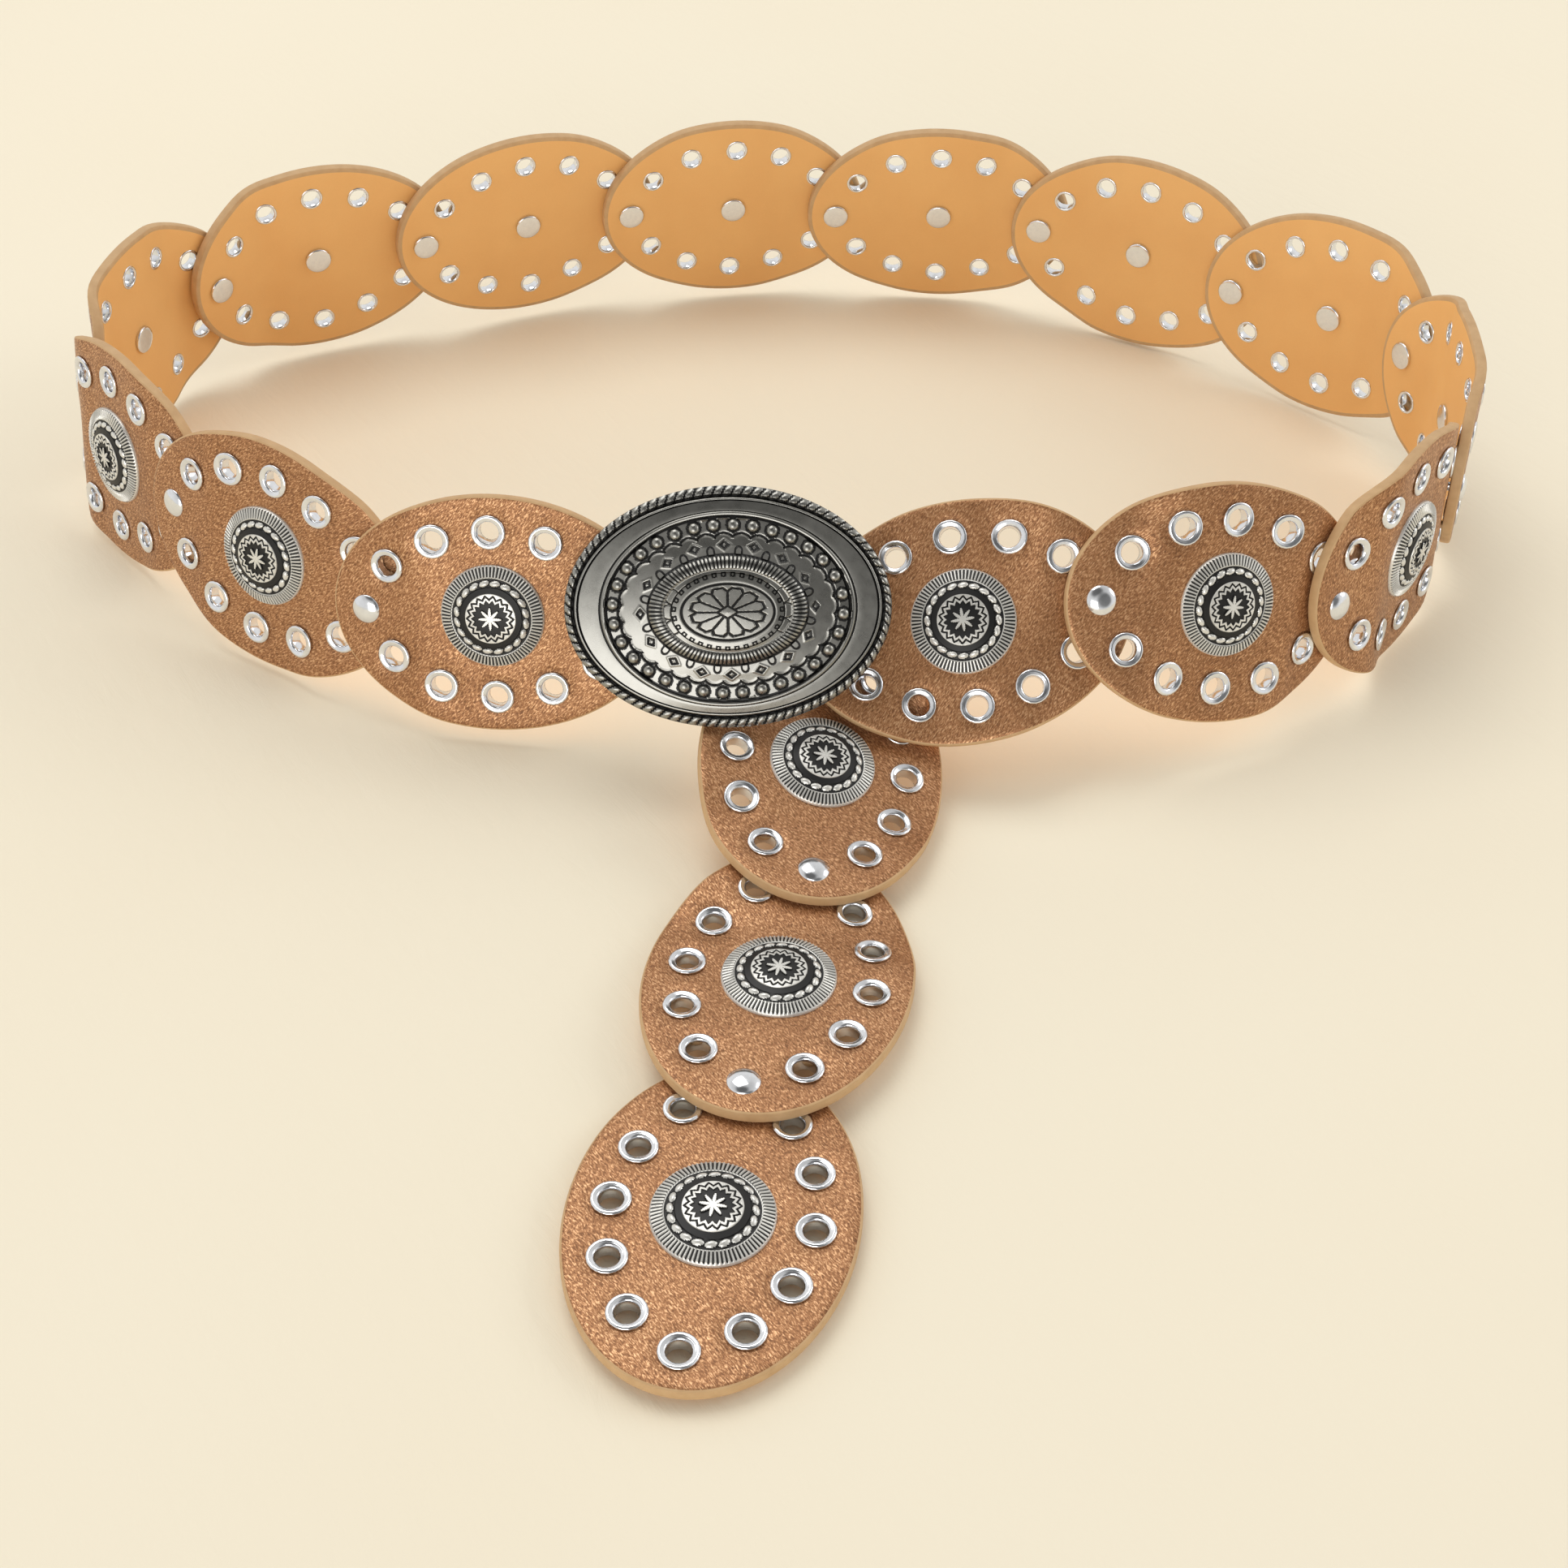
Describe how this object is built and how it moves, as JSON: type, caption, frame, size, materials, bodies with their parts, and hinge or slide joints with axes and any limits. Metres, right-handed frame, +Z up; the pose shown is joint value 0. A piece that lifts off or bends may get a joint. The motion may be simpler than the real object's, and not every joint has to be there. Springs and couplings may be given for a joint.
{
  "type": "disc belt",
  "caption": "Western style belt of riveted oval leather discs with round conchos, rows of eyelets and an oval cast buckle, fastened in a loop.",
  "frame": {"origin": "on the surface that the belt rests on, under the middle of its bounding box", "axes": "+Z up, -Y the side of the buckle and the tail, +X to the right as seen from that side"},
  "size_m": [0.3864, 0.421, 0.0684],
  "materials": {
    "leather": "metallic bronze grain in front, tan edge and back",
    "silver": "antique silver with black in the recesses",
    "nickel": "polished nickel"
  },
  "bodies": {
    "root": {"disc_01": "leather", "disc_02": "leather", "disc_03": "leather", "disc_04": "leather", "disc_05": "leather", "disc_06": "leather", "disc_07": "leather", "disc_08": "leather", "disc_09": "leather", "disc_10": "leather", "disc_11": "leather", "disc_12": "leather", "disc_13": "leather", "disc_14": "leather", "disc_15": "leather", "disc_16": "leather", "disc_17": "leather", "concho_01": "silver", "concho_02": "silver", "concho_03": "silver", "concho_04": "silver", "concho_05": "silver", "concho_06": "silver", "concho_07": "silver", "concho_08": "silver", "concho_09": "silver", "concho_10": "silver", "concho_11": "silver", "concho_12": "silver", "concho_13": "silver", "concho_14": "silver", "concho_15": "silver", "concho_16": "silver", "concho_17": "silver", "rivet_01": "nickel", "rivet_02": "nickel", "rivet_03": "nickel", "rivet_04": "nickel", "rivet_05": "nickel", "rivet_06": "nickel", "rivet_07": "nickel", "rivet_08": "nickel", "rivet_09": "nickel", "rivet_10": "nickel", "rivet_11": "nickel", "rivet_12": "nickel", "rivet_13": "nickel", "rivet_14": "nickel", "rivet_15": "nickel", "rivet_16": "nickel", "buckle": "silver", "buckle_stud": "nickel", "buckle_hook": "nickel"}
  },
  "joints": []
}
